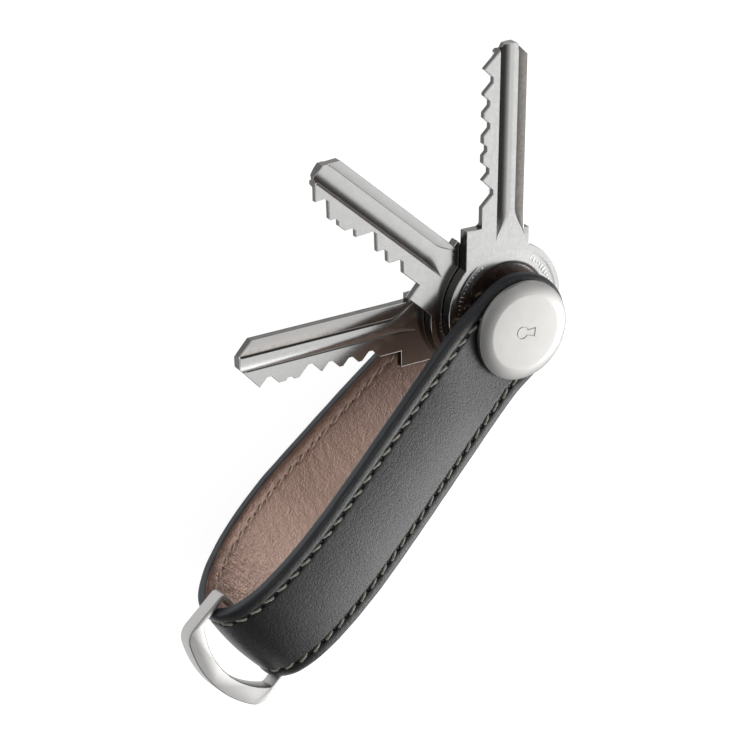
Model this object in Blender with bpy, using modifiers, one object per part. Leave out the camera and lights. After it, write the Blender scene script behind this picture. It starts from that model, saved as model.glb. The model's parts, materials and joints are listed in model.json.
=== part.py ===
"""Pocket key organiser: a folded leather strap clamped round three flip-out keys, with a D-ring in its fold.

The origin is the centre of the front button's flat face, on the pivot axis. +Z leaves that face, +X runs along the
strap to the fold and the D-ring, and +Y is across the strap.
"""

import math

import bmesh
import bpy
import numpy as np

MM = 0.001

# Strap: one folded ribbon of two leathers, round-ended about the pivot.
STRAP_WIDTH = 19.2 * MM
OUTER_THICKNESS = 1.0 * MM
LINING_THICKNESS = 0.9 * MM
LAYER_GAP = 0.1 * MM
STRAP_HOLE_RADIUS = 3.2 * MM
STRAP_STEPS = 60
# Outer surface of the folded strap seen from the side, as (X, Z) in mm, from the front end round the fold to the
# back end. The first and last points only lead the curve in and out.
STRAP_ROUTE = [
    (-21.0, -1.95),
    (-12.0, -1.95),
    (-3.0, -1.95),
    (4.0, -1.95),
    (6.6, -1.95),
    (9.5, -1.6),
    (13.5, -0.85),
    (20.0, 0.5),
    (28.0, 2.2),
    (38.0, 4.3),
    (48.0, 6.1),
    (57.0, 6.8),
    (63.5, 6.25),
    (68.0, 4.4),
    (70.5, 1.3),
    (70.9, -2.2),
    (69.6, -5.3),
    (66.4, -8.4),
    (60.0, -11.65),
    (50.0, -14.0),
    (38.0, -14.55),
    (27.0, -14.75),
    (19.5, -14.65),
    (12.0, -14.35),
    (6.6, -14.3),
    (-3.0, -14.3),
    (-12.0, -14.3),
    (-21.0, -14.3),
]
TRIM_LENGTH = 80 * MM
TRIM_HEIGHT = 60 * MM

# Clamp: front button and threaded barrel, closed from the back by a coin-slot screw.
BUTTON_RADIUS = 8.77 * MM
BUTTON_FLAT_RADIUS = 6.5 * MM
BUTTON_CHAMFER = 1.15 * MM
BUTTON_RIM = 0.45 * MM
CHAMFER_CROWN = 0.36
CAP_WALL = 0.9 * MM
CAP_HOLLOW_RADIUS = 7.9 * MM
BARREL_HEAD_RADIUS = 7.2 * MM
BARREL_HEAD_THICKNESS = 0.5 * MM
BARREL_RADIUS = 2.3 * MM
BORE_RADIUS = 1.6 * MM
BORE_TOP = -3.2 * MM
BARREL_END = -14.5 * MM
LOCK_RING_LENGTH = 1.6 * MM
LOCK_RING_RADIUS = 1.9 * MM
LOCK_RING_BORE = 1.52 * MM
LOCK_POCKET_RADIUS = 1.95 * MM
SCREW_RADIUS = 1.45 * MM
SCREW_TOP = -6.5 * MM
SCREW_HEAD_TOP = -14.7 * MM
COIN_SLOT = (12.0 * MM, 1.7 * MM, 0.8 * MM)
FIT_GAP = 0.05 * MM
RUBBER_RADIUS = 6.3 * MM
RUBBER_BORE = 4.5 * MM
RUBBER_THICKNESS = 0.25 * MM
EYELET_RADIUS = 3.1 * MM
EYELET_BORE = 2.75 * MM
EYELET_FLANGE_RADIUS = 4.2 * MM
EYELET_FLANGE = 0.2 * MM

# Stack on the barrel, as top and bottom heights.
SPACER = (-4.0 * MM, -4.5 * MM)
WAVE_WASHER = (-4.55 * MM, -5.05 * MM)
FRONT_SLIP_WASHER = (-5.1 * MM, -5.4 * MM)
KEY_TOPS = (-5.45 * MM, -7.7 * MM, -9.95 * MM)
KEY_THICKNESS = 2.0 * MM
KEY_WASHER_GAP = 0.05 * MM
KEY_WASHER_THICKNESS = 0.15 * MM
BACK_SLIP_WASHER = (-12.0 * MM, -12.25 * MM)
STACK_BORE = 2.6 * MM
WASHER_RADIUS = 5.0 * MM
SPACER_RADIUS = 6.0 * MM
WAVE_HEIGHT = 0.13 * MM
WAVE_COUNT = 3

# Keys: round bow, neck with a stop shoulder, and a grooved blade.
BOW_RADIUS = 11.3 * MM
BOW_CENTRE = 2.6 * MM
BLADE_HALF_WIDTH = 4.3 * MM
NECK_START = 10.0 * MM
SHOULDER_AT = 17.5 * MM
SHOULDER_OUT = 2.9 * MM
BACK_STEP_AT = 16.0 * MM
BACK_STEP_OUT = 1.1 * MM
TIP_CHAMFER = 2.4 * MM
TIP_SLOPE = 3.6 * MM
TIP_HEIGHT = 0.3 * MM
GROOVE_START = 12.5 * MM
GROOVE_RUN_OUT = 7.0 * MM
# Each groove as (distance from the blade's middle, width, depth).
GROOVES = [(0.4 * MM, 2.1 * MM, 0.55 * MM), (-2.75 * MM, 1.3 * MM, 0.45 * MM)]
# Each key as (name, swing from +X in degrees, how far it is slid on its hole, how far its blade is aside from its
# bow, length, depths of its cuts in mm).
KEYS = [
    ("key_1", -128.2, (0.4 * MM, 0.5 * MM), 0.9 * MM, 48.6 * MM, (2.1, 1.2, 0.7, 1.2, 1.1, 1.7)),
    ("key_2", -79.2, (0.9 * MM, 0.0), -0.6 * MM, 47.4 * MM, (1.5, 1.3, 2.6, 1.0, 0.6, 2.2)),
    ("key_3", -37.3, (0.85 * MM, -0.75 * MM), -0.8 * MM, 48.3 * MM, (1.4, 1.2, 1.4, 1.9, 0.5, 1.5)),
]
CUT_PITCH = 3.88 * MM
CUT_FLOOR = 0.8 * MM
CUT_SLOPE = 1.05
FIRST_CUT = 23.5 * MM

# D-ring: its straight bar lies in the fold, and its arms pass the strap's edges.
RING_AXIS_X = 66.9 * MM
RING_AXIS_Z = -0.25 * MM
RING_TILT = math.radians(5)
RING_DEPTH = 2.8 * MM
RING_BAR_HALF = 0.5 * MM
RING_HALF_WIDTH = 10.85 * MM
RING_ARM = 1.0 * MM
RING_INNER_REACH = 8.75 * MM
RING_INNER_ARC = 16.3 * MM
RING_OUTER_REACH = 11.65 * MM
RING_OUTER_ARC = 22.0 * MM
RING_OUTER_FILLET = 2.8 * MM
RING_INNER_FILLET = 0.7 * MM
RING_BAR_FILLET = 1.0 * MM
RING_EDGE = 0.15 * MM

ROUND_STEPS = 48
SMALL_STEPS = 32
CUT_MARGIN = 1.0 * MM


def clear_scene():
    for old in list(bpy.data.objects):
        bpy.data.objects.remove(old, do_unlink=True)


def collection(name):
    made = bpy.data.collections.new(name)
    bpy.context.scene.collection.children.link(made)
    return made


clear_scene()
ORGANISER = collection("key_organiser")
CUTTERS = collection("cutters")


def material(name, colour, roughness, metallic=0.0):
    made = bpy.data.materials.new(name)
    made.use_nodes = True
    shader = made.node_tree.nodes["Principled BSDF"]
    shader.inputs["Base Color"].default_value = (*colour, 1)
    shader.inputs["Roughness"].default_value = roughness
    shader.inputs["Metallic"].default_value = metallic
    return made


def smooth(obj, angle=30):
    obj.data.shade_smooth()
    obj.data.set_sharp_from_angle(angle=math.radians(angle))


def add_object(name, mesh, finish, group=None):
    obj = bpy.data.objects.new(name, mesh)
    (group or ORGANISER).objects.link(obj)
    if finish:
        mesh.materials.append(material(name, *finish))
    return obj


def as_cutter(obj, name=None):
    for owner in list(obj.users_collection):
        owner.objects.unlink(obj)
    CUTTERS.objects.link(obj)
    obj.name = name or obj.name
    obj.hide_render = True
    obj.display_type = "WIRE"
    return obj


def combine(obj, tool, operation="DIFFERENCE"):
    modifier = obj.modifiers.new(tool.name, "BOOLEAN")
    modifier.object = tool
    modifier.operation = operation
    return obj


def turned(name, profile, finish=None, steps=ROUND_STEPS, closed=False):
    """A body of revolution about Z, from (radius, height) points that run down its outer side."""
    mesh = bpy.data.meshes.new(name)
    count = len(profile)
    edges = [(i, i + 1) for i in range(count - 1)]
    if closed:
        edges.append((count - 1, 0))
    mesh.from_pydata([(radius, 0, height) for radius, height in profile], edges, [])
    obj = add_object(name, mesh, finish)
    screw = obj.modifiers.new("turn", "SCREW")
    screw.steps = steps
    screw.render_steps = steps
    screw.use_merge_vertices = True
    screw.merge_threshold = 0.00001
    return obj


def turned_ring(name, outer, inner, top, bottom, finish, steps=ROUND_STEPS):
    profile = [(outer, top), (outer, bottom), (inner, bottom), (inner, top)]
    return turned(name, profile, finish, steps, closed=True)


def outlined(name, outlines, thickness, finish=None, edge=0.0):
    """A plate from closed flat outlines in XY, centred on Z = 0, made a mesh so that it can be cut."""
    curve = bpy.data.curves.new(name, "CURVE")
    curve.dimensions = "2D"
    curve.fill_mode = "BOTH"
    curve.extrude = thickness / 2 - edge
    curve.bevel_depth = edge
    curve.bevel_resolution = 1
    curve.offset = -edge
    for outline in outlines:
        spline = curve.splines.new("POLY")
        spline.points.add(len(outline) - 1)
        spline.use_cyclic_u = True
        for point, (x, y) in zip(spline.points, outline):
            point.co = (x, y, 0, 1)
    guide = bpy.data.objects.new(name, curve)
    ORGANISER.objects.link(guide)
    bpy.context.view_layer.update()
    graph = bpy.context.evaluated_depsgraph_get()
    mesh = bpy.data.meshes.new_from_object(guide.evaluated_get(graph))
    bpy.data.objects.remove(guide, do_unlink=True)
    welded = bmesh.new()
    welded.from_mesh(mesh)
    bmesh.ops.remove_doubles(welded, verts=welded.verts, dist=0.000001)
    bmesh.ops.recalc_face_normals(welded, faces=welded.faces)
    welded.to_mesh(mesh)
    welded.free()
    mesh.name = name
    return add_object(name, mesh, finish)


def arc(centre, radius, start, end, steps):
    """Points on an arc, between two angles in radians, both ends included."""
    angles = np.linspace(start, end, steps)
    return [(centre[0] + radius * math.cos(a), centre[1] + radius * math.sin(a)) for a in angles]


def spline_through(points, count):
    """Evenly spaced points on a centripetal Catmull-Rom curve through the inner points."""
    points = np.array(points)
    fine = []
    for p0, p1, p2, p3 in zip(points, points[1:], points[2:], points[3:]):
        t0 = 0.0
        t1 = t0 + np.linalg.norm(p1 - p0) ** 0.5
        t2 = t1 + np.linalg.norm(p2 - p1) ** 0.5
        t3 = t2 + np.linalg.norm(p3 - p2) ** 0.5
        for t in np.linspace(t1, t2, 24, endpoint=False):
            a1 = ((t1 - t) * p0 + (t - t0) * p1) / (t1 - t0)
            a2 = ((t2 - t) * p1 + (t - t1) * p2) / (t2 - t1)
            a3 = ((t3 - t) * p2 + (t - t2) * p3) / (t3 - t2)
            b1 = ((t2 - t) * a1 + (t - t0) * a2) / (t2 - t0)
            b2 = ((t3 - t) * a2 + (t - t1) * a3) / (t3 - t1)
            fine.append(((t2 - t) * b1 + (t - t1) * b2) / (t2 - t1))
    fine.append(points[-2])
    fine = np.array(fine)
    along = np.concatenate([[0], np.cumsum(np.linalg.norm(np.diff(fine, axis=0), axis=1))])
    even = np.linspace(0, along[-1], count)
    return np.column_stack([np.interp(even, along, fine[:, i]) for i in range(2)])


def strap_line(depth):
    """The strap's side view at a depth below its outer surface."""
    line = spline_through(STRAP_ROUTE, STRAP_STEPS) * MM
    ahead = np.gradient(line, axis=0)
    ahead /= np.linalg.norm(ahead, axis=1)[:, None]
    inward = np.column_stack([ahead[:, 1], -ahead[:, 0]])
    return line + inward * depth


def strap_layer(name, top, bottom, finish):
    """One leather of the strap between two depths, trimmed round at the pivot and punched for the barrel."""
    outline = [tuple(p) for p in strap_line(top)] + [tuple(p) for p in strap_line(bottom)[::-1]]
    obj = outlined(name, [outline], STRAP_WIDTH + 2 * CUT_MARGIN, finish)
    obj.rotation_euler = (math.pi / 2, 0, 0)
    half = STRAP_WIDTH / 2
    plan = arc((0, 0), half, math.pi / 2, 3 * math.pi / 2, 25)
    plan += [(TRIM_LENGTH, -half), (TRIM_LENGTH, half)]
    trim = as_cutter(outlined(name + "_trim", [plan], TRIM_HEIGHT))
    combine(obj, trim, "INTERSECT")
    bpy.ops.mesh.primitive_cylinder_add(vertices=SMALL_STEPS, radius=STRAP_HOLE_RADIUS, depth=TRIM_HEIGHT)
    combine(obj, as_cutter(bpy.context.active_object, name + "_punch"))
    smooth(obj)
    return obj


def make_strap():
    leather = ((0.075, 0.078, 0.082), 0.5)
    lining = ((0.45, 0.30, 0.27), 0.45)
    strap_layer("outer_leather", 0, OUTER_THICKNESS, leather)
    top = OUTER_THICKNESS + LAYER_GAP
    strap_layer("lining_leather", top, top + LINING_THICKNESS, lining)


def make_clamp():
    steel = ((0.62, 0.61, 0.59), 0.32, 1.0)
    rubber = ((0.02, 0.02, 0.02), 0.7)
    nylon = ((0.75, 0.74, 0.7), 0.5)
    rim_top = -BUTTON_CHAMFER
    rim_bottom = rim_top - BUTTON_RIM
    cap = [
        (0, 0),
        (BUTTON_FLAT_RADIUS, 0),
        ((BUTTON_FLAT_RADIUS + BUTTON_RADIUS) / 2, rim_top * CHAMFER_CROWN),
        (BUTTON_RADIUS, rim_top),
        (BUTTON_RADIUS, rim_bottom),
        (CAP_HOLLOW_RADIUS, rim_bottom),
        (CAP_HOLLOW_RADIUS, -CAP_WALL),
        (0, -CAP_WALL),
    ]
    turned("front_button", cap, steel)
    head_top = -CAP_WALL - FIT_GAP
    head_bottom = head_top - BARREL_HEAD_THICKNESS
    pocket_top = BARREL_END + LOCK_RING_LENGTH + 2 * FIT_GAP
    barrel = [
        (0, head_top),
        (BARREL_HEAD_RADIUS, head_top),
        (BARREL_HEAD_RADIUS, head_bottom),
        (BARREL_RADIUS, head_bottom),
        (BARREL_RADIUS, BARREL_END),
        (LOCK_POCKET_RADIUS, BARREL_END),
        (LOCK_POCKET_RADIUS, pocket_top),
        (BORE_RADIUS, pocket_top),
        (BORE_RADIUS, BORE_TOP),
        (0, BORE_TOP),
    ]
    turned("threaded_barrel", barrel, steel, SMALL_STEPS)
    ring_bottom = BARREL_END + FIT_GAP
    ring_top = ring_bottom + LOCK_RING_LENGTH
    turned_ring("nylon_lock_ring", LOCK_RING_RADIUS, LOCK_RING_BORE, ring_top, ring_bottom, nylon, SMALL_STEPS)
    face = SCREW_HEAD_TOP - BUTTON_RIM - BUTTON_CHAMFER
    screw = [
        (0, SCREW_TOP),
        (SCREW_RADIUS, SCREW_TOP),
        (SCREW_RADIUS, SCREW_HEAD_TOP),
        (BUTTON_RADIUS, SCREW_HEAD_TOP),
        (BUTTON_RADIUS, SCREW_HEAD_TOP - BUTTON_RIM),
        ((BUTTON_FLAT_RADIUS + BUTTON_RADIUS) / 2, face + BUTTON_CHAMFER * CHAMFER_CROWN),
        (BUTTON_FLAT_RADIUS, face),
        (0, face),
    ]
    back_screw = turned("back_screw", screw, steel)
    slot_length, slot_width, slot_depth = COIN_SLOT
    bpy.ops.mesh.primitive_cube_add(size=1, location=(0, 0, face))
    slot = as_cutter(bpy.context.active_object, "coin_slot")
    slot.scale = (slot_length, slot_width, 2 * slot_depth)
    combine(back_screw, slot)
    front_face = STRAP_ROUTE[1][1] * MM
    back_face = STRAP_ROUTE[-2][1] * MM
    top = front_face + FIT_GAP + RUBBER_THICKNESS
    turned_ring("front_rubber_washer", RUBBER_RADIUS, RUBBER_BORE, top, front_face + FIT_GAP, rubber)
    top = back_face - FIT_GAP
    turned_ring("back_rubber_washer", RUBBER_RADIUS, RUBBER_BORE, top, top - RUBBER_THICKNESS, rubber)
    make_eyelets(front_face, back_face, steel)


def make_eyelets(front_face, back_face, steel):
    """A flanged tube lines the hole in each end of the strap, with its flange outside."""
    through = OUTER_THICKNESS + LAYER_GAP + LINING_THICKNESS
    low = front_face + FIT_GAP
    front = [
        (EYELET_FLANGE_RADIUS, low + EYELET_FLANGE),
        (EYELET_FLANGE_RADIUS, low),
        (EYELET_RADIUS, low),
        (EYELET_RADIUS, front_face - through),
        (EYELET_BORE, front_face - through),
        (EYELET_BORE, low + EYELET_FLANGE),
    ]
    turned("front_eyelet", front, steel, SMALL_STEPS, closed=True)
    high = back_face - FIT_GAP
    back = [
        (EYELET_RADIUS, back_face + through),
        (EYELET_RADIUS, high),
        (EYELET_FLANGE_RADIUS, high),
        (EYELET_FLANGE_RADIUS, high - EYELET_FLANGE),
        (EYELET_BORE, high - EYELET_FLANGE),
        (EYELET_BORE, back_face + through),
    ]
    turned("back_eyelet", back, steel, SMALL_STEPS, closed=True)


def make_stack():
    """Spacer and washers that sit on the barrel between the two ends of the strap and the keys."""
    steel = ((0.6, 0.6, 0.6), 0.35, 1.0)
    nylon = ((0.05, 0.05, 0.055), 0.5)
    turned_ring("front_spacer", SPACER_RADIUS, STACK_BORE, *SPACER, steel, SMALL_STEPS)
    high, low = WAVE_WASHER
    middle = (high + low) / 2
    half = (high - low) / 2 - WAVE_HEIGHT
    wave = turned_ring("wave_washer", WASHER_RADIUS, STACK_BORE, middle + half, middle - half, steel)
    graph = bpy.context.evaluated_depsgraph_get()
    mesh = bpy.data.meshes.new_from_object(wave.evaluated_get(graph))
    wave.modifiers.clear()
    wave.data = mesh
    for vertex in mesh.vertices:
        turn = math.atan2(vertex.co.y, vertex.co.x)
        vertex.co.z += WAVE_HEIGHT * math.sin(WAVE_COUNT * turn)
    turned_ring("front_slip_washer", WASHER_RADIUS, STACK_BORE, *FRONT_SLIP_WASHER, nylon, SMALL_STEPS)
    for number, key_top in enumerate(KEY_TOPS[:-1], 1):
        top = key_top - KEY_THICKNESS - KEY_WASHER_GAP
        bottom = top - KEY_WASHER_THICKNESS
        turned_ring(f"key_washer_{number}", WASHER_RADIUS, STACK_BORE, top, bottom, nylon, SMALL_STEPS)
    turned_ring("back_slip_washer", WASHER_RADIUS, STACK_BORE, *BACK_SLIP_WASHER, nylon, SMALL_STEPS)


def cut_edge(length, depths):
    """The cut side of a blade from its shoulder to its tip, as (distance, height above the middle) points."""
    peak = BLADE_HALF_WIDTH
    edge = [(SHOULDER_AT, peak)]
    for number, depth in enumerate(depths):
        middle = FIRST_CUT + number * CUT_PITCH
        floor = peak - depth * MM
        start = middle - (CUT_FLOOR / 2 + depth * MM / CUT_SLOPE)
        finish = 2 * middle - start
        overlap = edge[-1][0] - start
        if overlap > 0:
            # Neighbouring cuts run into each other, so their flanks meet at a lower peak.
            edge[-1] = (start + overlap / 2, peak - overlap / 2 * CUT_SLOPE)
        else:
            edge.append((start, peak))
        edge += [(middle - CUT_FLOOR / 2, floor), (middle + CUT_FLOOR / 2, floor), (finish, peak)]
    tip_start = length - TIP_SLOPE
    tip_fall = (peak - TIP_HEIGHT) / TIP_SLOPE
    overlap = edge[-1][0] - tip_start
    if overlap > 0:
        back = overlap * tip_fall / (tip_fall + CUT_SLOPE)
        edge[-1] = (edge[-1][0] - back, peak - back * CUT_SLOPE)
    else:
        edge.append((tip_start, peak))
    return edge + [(length, TIP_HEIGHT)]


def key_outline(shift, length, depths):
    half = BLADE_HALF_WIDTH
    neck_high = half + SHOULDER_OUT
    neck_low = -half - BACK_STEP_OUT
    outline = [(length, -half + TIP_CHAMFER), (length - TIP_CHAMFER, -half)]
    outline += [(BACK_STEP_AT, -half), (BACK_STEP_AT, neck_low)]
    low_angle = math.asin((neck_low + shift) / BOW_RADIUS)
    high_angle = math.asin((neck_high + shift) / BOW_RADIUS)
    outline = [(x, y + shift) for x, y in outline]
    outline += arc((BOW_CENTRE, 0), BOW_RADIUS, low_angle, high_angle - 2 * math.pi, 56)
    blade = [(SHOULDER_AT, neck_high)] + cut_edge(length, depths)
    return outline + [(x, y + shift) for x, y in blade]


def groove_cutter(name, offset, width, depth, length):
    """A long bar, pointed at the bow, that mills one groove into one face of a key."""
    half = width / 2
    outline = [
        (GROOVE_START, offset),
        (GROOVE_START + GROOVE_RUN_OUT, offset - half),
        (length + CUT_MARGIN, offset - half),
        (length + CUT_MARGIN, offset + half),
        (GROOVE_START + GROOVE_RUN_OUT, offset + half),
    ]
    return as_cutter(outlined(name, [outline], 2 * depth))


def make_key(number):
    name, swing, slide, shift, length, depths = KEYS[number]
    nickel = ((0.66, 0.66, 0.65), 0.2, 1.0)
    pivot = bpy.data.objects.new(name + "_pivot", None)
    pivot.location.z = KEY_TOPS[number] - KEY_THICKNESS / 2
    pivot.rotation_euler.z = math.radians(swing)
    ORGANISER.objects.link(pivot)
    hole = arc((0, 0), STACK_BORE, 0, 2 * math.pi * (1 - 1 / SMALL_STEPS), SMALL_STEPS)
    outline = [(x + slide[0], y + slide[1]) for x, y in key_outline(shift, length, depths)]
    key = outlined(name, [outline, hole], KEY_THICKNESS, nickel)
    key.parent = pivot
    for place, (offset, width, depth) in enumerate(GROOVES):
        for side, face in (("front", KEY_THICKNESS / 2), ("back", -KEY_THICKNESS / 2)):
            label = f"{name}_groove_{place}_{side}"
            cutter = groove_cutter(label, offset + shift, width, depth, length)
            cutter.location = (*slide, face)
            cutter.parent = pivot
            combine(key, cutter)
    smooth(key)


def ring_outline(reach, radius, half_width, fillet, start, start_fillet):
    """A D: a straight side at start, two arms, filleted corners and a shallow arc at reach."""
    centre = reach - radius
    fillet_y = half_width - fillet
    fillet_x = centre + math.sqrt((radius - fillet) ** 2 - fillet_y**2)
    lean = math.atan2(fillet_y, fillet_x - centre)
    side = arc((fillet_x, fillet_y), fillet, lean, math.pi / 2, 7)
    side += arc((start + start_fillet, half_width - start_fillet), start_fillet, math.pi / 2, math.pi, 5)
    bow = arc((centre, 0), radius, -lean, lean, 25)[1:-1]
    return [(x, -y) for x, y in side[::-1]] + bow + side


def make_d_ring():
    steel = ((0.6, 0.6, 0.58), 0.3, 1.0)
    outer = ring_outline(
        RING_OUTER_REACH, RING_OUTER_ARC, RING_HALF_WIDTH, RING_OUTER_FILLET, -RING_BAR_HALF, RING_BAR_FILLET
    )
    arm_face = RING_HALF_WIDTH - RING_ARM
    inner = ring_outline(
        RING_INNER_REACH, RING_INNER_ARC, arm_face, RING_INNER_FILLET, RING_BAR_HALF, RING_BAR_FILLET / 3
    )
    ring = outlined("d_ring", [outer, inner[::-1]], RING_DEPTH, steel, RING_EDGE)
    ring.location = (RING_AXIS_X, 0, RING_AXIS_Z)
    ring.rotation_euler = (0, -RING_TILT, 0)
    smooth(ring)


make_strap()
make_clamp()
make_stack()
for index in range(len(KEYS)):
    make_key(index)
make_d_ring()
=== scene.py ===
"""Looks of the pocket key organiser: a stitched leather strap, its clamp, its three keys and its D-ring.

Sizes are in metres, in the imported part's frame. +Z leaves the front button, and +X runs along the strap
to its fold. The strap's route, the keys' outlines and all UVs are in millimetres.
"""

import json
import math

import bmesh
import bpy
import numpy as np
from mathutils import Matrix, Vector
from mathutils.geometry import delaunay_2d_cdt


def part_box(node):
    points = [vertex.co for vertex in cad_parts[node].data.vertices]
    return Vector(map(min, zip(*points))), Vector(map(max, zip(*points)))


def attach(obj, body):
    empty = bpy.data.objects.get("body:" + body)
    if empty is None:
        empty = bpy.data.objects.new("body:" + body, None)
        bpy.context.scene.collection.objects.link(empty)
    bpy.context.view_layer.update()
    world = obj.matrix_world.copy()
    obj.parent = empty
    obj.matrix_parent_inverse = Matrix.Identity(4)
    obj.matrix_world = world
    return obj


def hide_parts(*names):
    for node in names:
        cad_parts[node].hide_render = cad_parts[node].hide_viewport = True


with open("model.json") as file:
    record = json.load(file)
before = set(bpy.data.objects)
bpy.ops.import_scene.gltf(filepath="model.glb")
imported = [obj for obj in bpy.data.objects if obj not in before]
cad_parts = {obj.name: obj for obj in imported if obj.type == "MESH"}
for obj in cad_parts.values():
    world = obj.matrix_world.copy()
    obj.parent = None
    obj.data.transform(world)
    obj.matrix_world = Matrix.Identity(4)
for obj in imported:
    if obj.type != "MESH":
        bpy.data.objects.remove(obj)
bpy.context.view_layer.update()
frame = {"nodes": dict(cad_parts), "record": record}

MM = 0.001

# Camera, as a direction from the target, a roll and a distance.
VIEW_TARGET = Vector((0.0221, -0.0085, -0.0114))
VIEW_FROM = Vector((0.1223, -0.6181, 0.7765))
VIEW_UP = Vector((-0.7298, -0.5863, -0.3517))
VIEW_DISTANCE = 0.450
VIEW_LENS = 128.5

# Strap: side view of its outer surface in mm, and how its two leathers lie.
STRAP_ROUTE = [
    (-21.0, -1.95), (-12.0, -1.95), (-3.0, -1.95), (4.0, -1.95), (6.6, -1.95),
    (9.5, -1.6), (13.5, -0.85), (20.0, 0.5), (28.0, 2.2), (38.0, 4.3),
    (48.0, 6.1), (57.0, 6.8), (63.5, 6.25), (68.0, 4.4), (70.5, 1.3),
    (70.9, -2.2), (69.6, -5.3), (66.4, -8.4), (60.0, -11.65), (50.0, -14.0),
    (38.0, -14.55), (27.0, -14.75), (19.5, -14.65), (12.0, -14.35), (6.6, -14.3),
    (-3.0, -14.3), (-12.0, -14.3), (-21.0, -14.3),
]
HALF_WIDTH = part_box("outer_leather")[1].y
THICKNESS = 2.0 * MM
SPLIT_DEPTH = 1.0 * MM
EDGE_INSET = 0.25 * MM
HOLE_RADIUS = 3.2 * MM
STITCH_INSET = 2.4 * MM
STITCH_PITCH = 2.85 * MM
STITCH_LENGTH = 2.3 * MM
GRID_STEP = 0.5 * MM


# ---- Mesh helpers


def new_object(name, data):
    obj = bpy.data.objects.new(name, data)
    bpy.context.scene.collection.objects.link(obj)
    return obj


def mesh_object(name, points, faces):
    mesh = bpy.data.meshes.new(name)
    mesh.from_pydata(np.asarray(points).reshape(-1, 3).tolist(), [], faces)
    return new_object(name, mesh)


def set_uv(obj, per_vertex):
    layer = obj.data.uv_layers.new(name="pattern")
    corners = np.zeros(len(obj.data.loops), np.int32)
    obj.data.loops.foreach_get("vertex_index", corners)
    layer.data.foreach_set("uv", per_vertex[corners].astype(np.float32).ravel())


def fix_normals(obj):
    mesh = bmesh.new()
    mesh.from_mesh(obj.data)
    bmesh.ops.recalc_face_normals(mesh, faces=mesh.faces)
    mesh.to_mesh(obj.data)
    mesh.free()


def shade(obj, sharp_degrees=None):
    """Shades the object smooth, apart from its edges that are sharper than this angle."""
    obj.data.shade_smooth()
    if sharp_degrees:
        obj.data.set_sharp_from_angle(angle=math.radians(sharp_degrees))


def bake_modifiers(obj):
    graph = bpy.context.evaluated_depsgraph_get()
    mesh = bpy.data.meshes.new_from_object(obj.evaluated_get(graph))
    obj.modifiers.clear()
    obj.data = mesh


def cut_away(obj, tool):
    """Cuts the tool's shape out of the object, and removes the tool."""
    cut = obj.modifiers.new("cut", "BOOLEAN")
    cut.object = tool
    cut.solver = "EXACT"
    bake_modifiers(obj)
    bpy.data.objects.remove(tool, do_unlink=True)


def swept(name, rings):
    """A closed skin over a closed row of rings of points: (number of rings, points in a ring, 3)."""
    n, m, _ = rings.shape
    index = np.arange(n * m).reshape(n, m)
    ahead = np.roll(index, -1, axis=0)
    faces = np.stack([index, ahead, np.roll(ahead, -1, axis=1), np.roll(index, -1, axis=1)], -1)
    obj = mesh_object(name, rings, faces.reshape(-1, 4).tolist())
    fix_normals(obj)
    shade(obj)
    return obj


def many_tubes(name, tubes):
    """One object of separate closed tubes: (tubes, rings, points in a ring, 3)."""
    count, n, m, _ = tubes.shape
    index = np.arange(n * m).reshape(n, m)
    beside = np.roll(index, -1, axis=1)
    sides = np.stack([index[:-1], index[1:], beside[1:], beside[:-1]], -1).reshape(-1, 4)
    faces = []
    for number in range(count):
        base = number * n * m
        faces += (sides + base).tolist()
        faces.append((index[0] + base).tolist())
        faces.append((index[-1][::-1] + base).tolist())
    obj = mesh_object(name, tubes, faces)
    fix_normals(obj)
    shade(obj)
    return obj


# ---- Strap geometry


def smoothstep(value, low, high):
    t = np.clip((value - low) / (high - low), 0, 1)
    return t * t * (3 - 2 * t)


def bell(value, centre, width):
    """1 at the centre, falling to 0 a few widths away from it."""
    return np.exp(-(((value - centre) / width) ** 2))


def between(t, start, end, first, last):
    return ((end - t) * first + (t - start) * last) / (end - start)


def spline_through(points, per_span=40):
    """A centripetal Catmull-Rom curve through the inner points."""
    points = np.array(points, float)
    fine = []
    for p0, p1, p2, p3 in zip(points, points[1:], points[2:], points[3:]):
        t0 = 0.0
        t1 = t0 + np.linalg.norm(p1 - p0) ** 0.5
        t2 = t1 + np.linalg.norm(p2 - p1) ** 0.5
        t3 = t2 + np.linalg.norm(p3 - p2) ** 0.5
        for t in np.linspace(t1, t2, per_span, endpoint=False):
            a1 = between(t, t0, t1, p0, p1)
            a2 = between(t, t1, t2, p1, p2)
            a3 = between(t, t2, t3, p2, p3)
            b1 = between(t, t0, t2, a1, a2)
            b2 = between(t, t1, t3, a2, a3)
            fine.append(between(t, t1, t2, b1, b2))
    fine.append(points[-2])
    return np.array(fine)


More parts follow.
